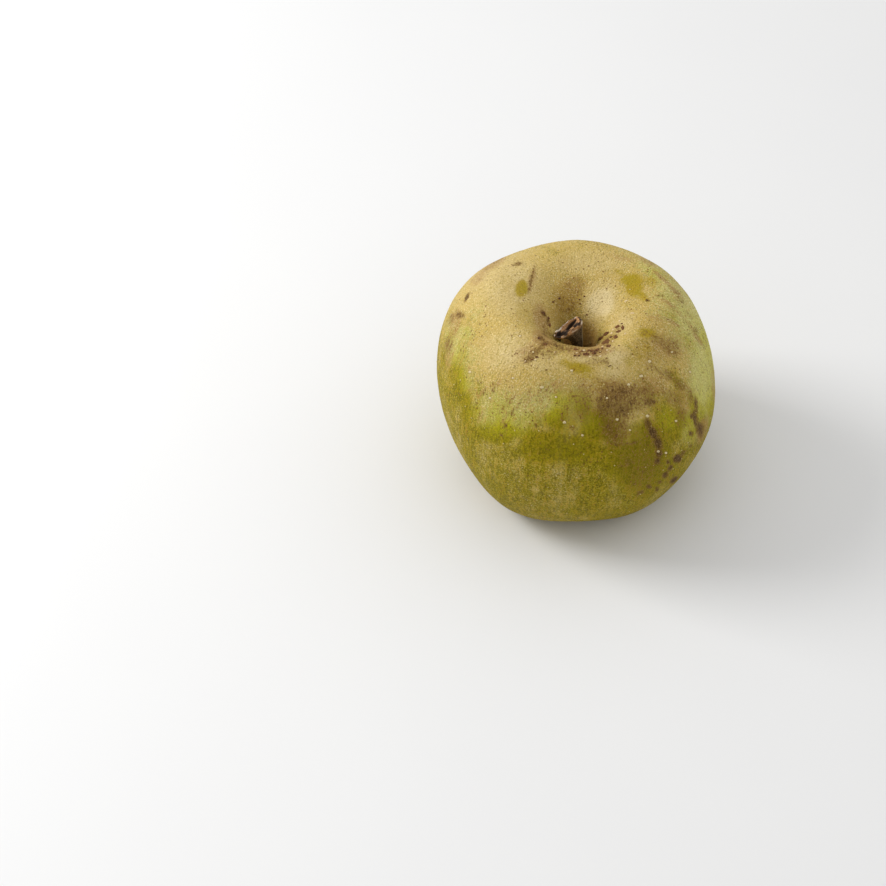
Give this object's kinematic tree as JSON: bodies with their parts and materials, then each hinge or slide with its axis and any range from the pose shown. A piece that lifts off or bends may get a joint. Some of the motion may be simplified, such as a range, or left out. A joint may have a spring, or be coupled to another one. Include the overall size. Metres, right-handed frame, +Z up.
{
  "type": "reinette apple",
  "caption": "Whole russeted apple standing on the lobes round its calyx basin, with a short oblique woody stem in a deep off-centre cavity.",
  "frame": {"origin": "on the ground, under the middle of the standing fruit", "axes": "+Z up through the fruit from the calyx to the stem, with the fruit leaning towards +X; -Y faces the viewer of the picture"},
  "size_m": [0.0783, 0.0811, 0.0656],
  "materials": {
    "skin": "dry waxy yellow-green skin with fine tan russet and pale lenticels",
    "stem": "dry ridged brown bark with a torn woody end",
    "calyx": "dry woolly grey-brown sepals"
  },
  "bodies": {
    "root": {"fruit": "skin", "stem": "stem", "calyx": "calyx"}
  },
  "joints": []
}
